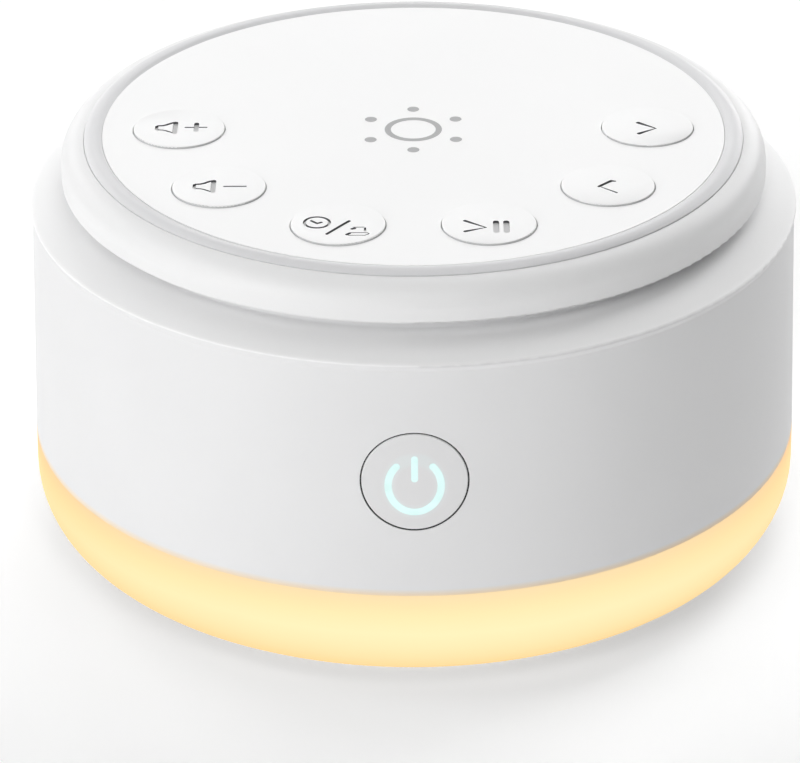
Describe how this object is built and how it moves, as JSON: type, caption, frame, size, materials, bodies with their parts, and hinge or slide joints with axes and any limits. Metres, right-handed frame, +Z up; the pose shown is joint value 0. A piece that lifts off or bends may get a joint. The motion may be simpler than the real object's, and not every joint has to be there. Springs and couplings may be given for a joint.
{
  "type": "white noise sound machine",
  "caption": "Round white sound machine: finger keys and a touch light sign on top, a power key in front, a glowing ring at its base, a grille underneath.",
  "frame": {"origin": "centre of the resting face, on the surface the rubber feet stand on", "axes": "+Z up through the middle of the key panel, -Y towards the front with the power key, +X to the right of someone facing the front"},
  "size_m": [0.1014, 0.1014, 0.0573],
  "materials": {
    "housing_white": "fine satin, moulded",
    "rim_white": "satin, moulded",
    "trim_grey": "satin",
    "panel_white": "smooth satin",
    "key_white": "smooth satin, sign moulded in",
    "power_key_white": "fine satin, translucent sign",
    "glow": "frosted, translucent, lit warm white",
    "light_guide": "clear, polished",
    "base_white": "fine texture, moulded",
    "tray_white": "plain, moulded",
    "foot_rubber": "matt",
    "circuit_board": "solder mask",
    "light_board": "white solder mask",
    "lamp": "encapsulant",
    "black_plastic": "moulded",
    "cream_plastic": "moulded",
    "capacitor_can": "sleeved can",
    "steel": "zinc plated",
    "plug_shell": "nickel plated",
    "ferrite": "sintered, matt",
    "basket_black": "black e-coat",
    "cone_paper": "pressed pulp",
    "surround_rubber": "soft",
    "spider_cloth": "impregnated cloth",
    "coil_copper": "enamelled copper wire",
    "foam": "closed cell foam",
    "ribbon_white": "flat lead",
    "lead_red": "stranded lead sleeve",
    "lead_black": "stranded lead sleeve"
  },
  "bodies": {
    "housing": {"base_cover": "base_white", "base_screws": "steel", "board_chips": "black_plastic", "capacitors": "capacitor_can", "feet": "foot_rubber", "frame_screws": "steel", "glow_leds": "lamp", "key_board": "circuit_board", "key_board_screws": "steel", "key_cable": "ribbon_white", "key_carrier": "tray_white", "key_panel": "panel_white", "key_switch_bodies": "black_plastic", "light_board": "light_board", "light_cable": "ribbon_white", "light_diffuser": "glow", "light_tray": "tray_white", "main_board": "circuit_board", "main_housing": "housing_white", "power_board": "circuit_board", "power_board_screws": "steel", "power_cable": "ribbon_white", "power_leds": "lamp", "power_switch_body": "black_plastic", "rim_screws": "steel", "speaker_basket": "basket_black", "speaker_gasket": "foam", "speaker_lead_minus": "lead_black", "speaker_lead_plus": "lead_red", "speaker_magnet": "ferrite", "speaker_screws": "steel", "speaker_top_plate": "steel", "speaker_yoke": "steel", "spider": "spider_cloth", "surround": "surround_rubber", "top_rim": "rim_white", "touch_pad": "foam", "trim_ring": "trim_grey", "usb_c_shell": "plug_shell", "usb_c_tongue": "black_plastic", "wire_sockets": "cream_plastic"},
    "volume_up_button": {"volume_up_key": "key_white", "volume_up_plunger": "black_plastic"},
    "volume_down_button": {"volume_down_key": "key_white", "volume_down_plunger": "black_plastic"},
    "timer_lock_button": {"timer_lock_key": "key_white", "timer_lock_plunger": "black_plastic"},
    "play_pause_button": {"play_pause_key": "key_white", "play_pause_plunger": "black_plastic"},
    "previous_button": {"previous_key": "key_white", "previous_plunger": "black_plastic"},
    "next_button": {"next_key": "key_white", "next_plunger": "black_plastic"},
    "power_button": {"power_key": "power_key_white", "power_light_guide": "light_guide", "power_switch_plunger": "black_plastic"},
    "diaphragm": {"speaker_cone": "cone_paper", "dust_cap": "cone_paper", "voice_coil": "coil_copper"}
  },
  "joints": [
    {"name": "volume_up_press", "type": "slide", "parent": "housing", "child": "volume_up_button", "axis": [0, 0, -1], "range_m": [0, 0.0004], "stiffness_N_per_m": 3000},
    {"name": "volume_down_press", "type": "slide", "parent": "housing", "child": "volume_down_button", "axis": [0, 0, -1], "range_m": [0, 0.0004], "stiffness_N_per_m": 3000},
    {"name": "timer_lock_press", "type": "slide", "parent": "housing", "child": "timer_lock_button", "axis": [0, 0, -1], "range_m": [0, 0.0004], "stiffness_N_per_m": 3000},
    {"name": "play_pause_press", "type": "slide", "parent": "housing", "child": "play_pause_button", "axis": [0, 0, -1], "range_m": [0, 0.0004], "stiffness_N_per_m": 3000},
    {"name": "previous_press", "type": "slide", "parent": "housing", "child": "previous_button", "axis": [0, 0, -1], "range_m": [0, 0.0004], "stiffness_N_per_m": 3000},
    {"name": "next_press", "type": "slide", "parent": "housing", "child": "next_button", "axis": [0, 0, -1], "range_m": [0, 0.0004], "stiffness_N_per_m": 3000},
    {"name": "power_press", "type": "slide", "parent": "housing", "child": "power_button", "axis": [0, 1, 0], "range_m": [0, 0.0004], "stiffness_N_per_m": 3000},
    {"name": "cone_travel", "type": "slide", "parent": "housing", "child": "diaphragm", "axis": [0, 0, 1], "range_m": [-0.001, 0.001], "stiffness_N_per_m": 1500, "deforming": ["surround", "spider"]}
  ]
}
